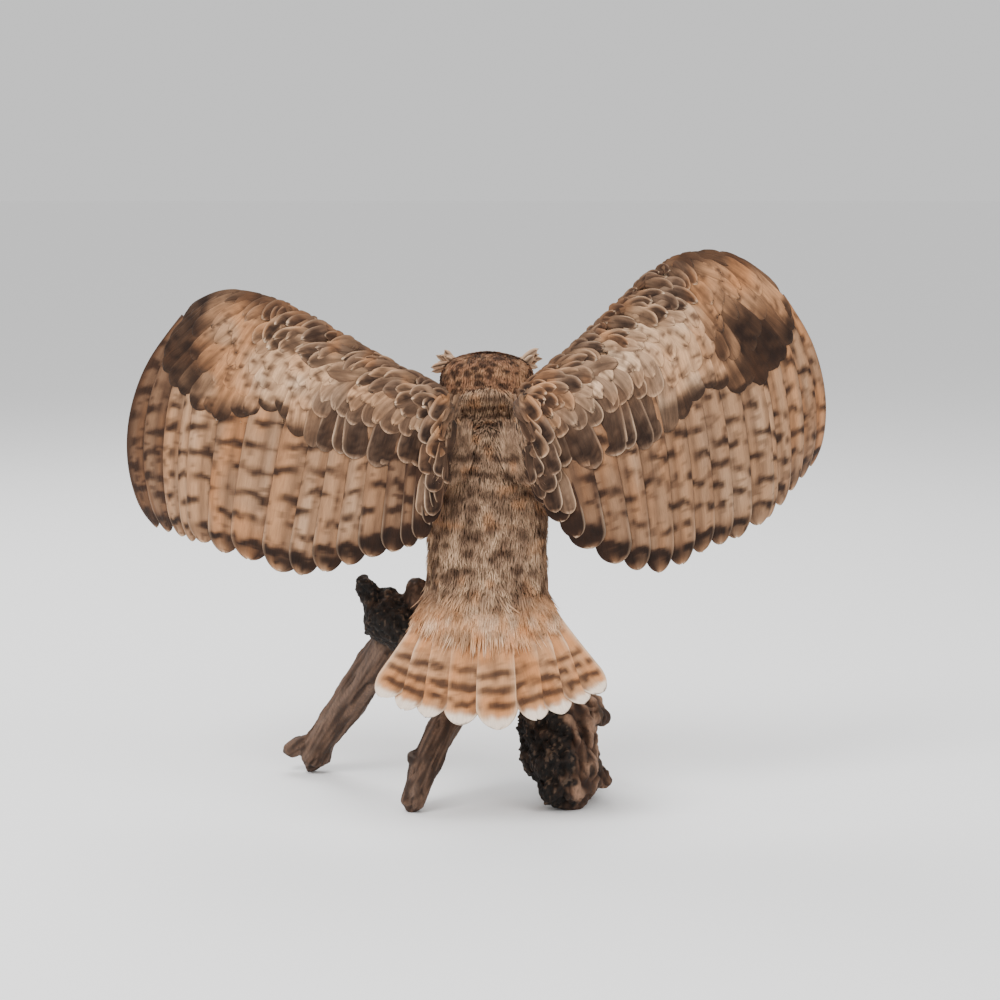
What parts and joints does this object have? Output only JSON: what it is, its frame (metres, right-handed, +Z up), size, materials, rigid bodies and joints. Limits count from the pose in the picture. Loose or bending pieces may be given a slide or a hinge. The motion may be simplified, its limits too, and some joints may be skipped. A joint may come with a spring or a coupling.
{
  "type": "taxidermy owl on driftwood",
  "caption": "Mounted pharaoh eagle owl with raised, spread wings and fanned tail, gripping a weathered driftwood stand.",
  "frame": {"origin": "middle of the footprint of the whole model, on the surface that the driftwood stands on", "axes": "+Z up, the bird faces -Y, its left wing is on +X"},
  "size_m": [0.7638, 0.2816, 0.5962],
  "materials": {
    "plumage": "soft mottled feathers, tawny with dark brown blotches",
    "covert": "scale-like feathers with dark centres and pale rims",
    "flight_feather": "buff vanes with broken dark bars",
    "tail_feather": "orange-buff vanes with dark bars and whitish tips",
    "leg_feather": "short pale buff feathers",
    "eye": "glossy glass eye with an orange iris",
    "bill": "dark horn with a satin gloss",
    "claw": "black horn with a satin gloss",
    "driftwood": "weathered, cracked and partly rotten wood"
  },
  "bodies": {
    "root": {"eye_left": "eye", "ear_tuft_left": "covert", "eye_right": "eye", "ear_tuft_right": "covert", "bill": "bill", "head": "plumage", "neck": "plumage", "trunk": "plumage", "tail": "tail_feather", "wing_left_upper_arm": "covert", "wing_left_forearm": "covert", "wing_left_hand": "covert", "wing_left_secondaries": "flight_feather", "wing_left_primaries": "flight_feather", "thigh_left": "leg_feather", "shank_left": "leg_feather", "foot_left": "leg_feather", "claw_left_front_inner": "claw", "claw_left_front_outer": "claw", "claw_left_back_inner": "claw", "claw_left_back_outer": "claw", "wing_right_upper_arm": "covert", "wing_right_forearm": "covert", "wing_right_hand": "covert", "wing_right_secondaries": "flight_feather", "wing_right_primaries": "flight_feather", "thigh_right": "leg_feather", "shank_right": "leg_feather", "foot_right": "leg_feather", "claw_right_front_inner": "claw", "claw_right_front_outer": "claw", "claw_right_back_inner": "claw", "claw_right_back_outer": "claw", "stand_driftwood_log": "driftwood", "stand_driftwood_leg_left": "driftwood", "stand_driftwood_toe_left": "driftwood", "stand_driftwood_leg_middle": "driftwood", "stand_driftwood_stump": "driftwood", "stand_driftwood_stump_back": "driftwood", "stand_driftwood_knob_right": "driftwood", "stand_driftwood_knob_top": "driftwood", "stand_driftwood_stub_outer": "driftwood", "stand_driftwood_stub_inner": "driftwood"}
  },
  "joints": []
}
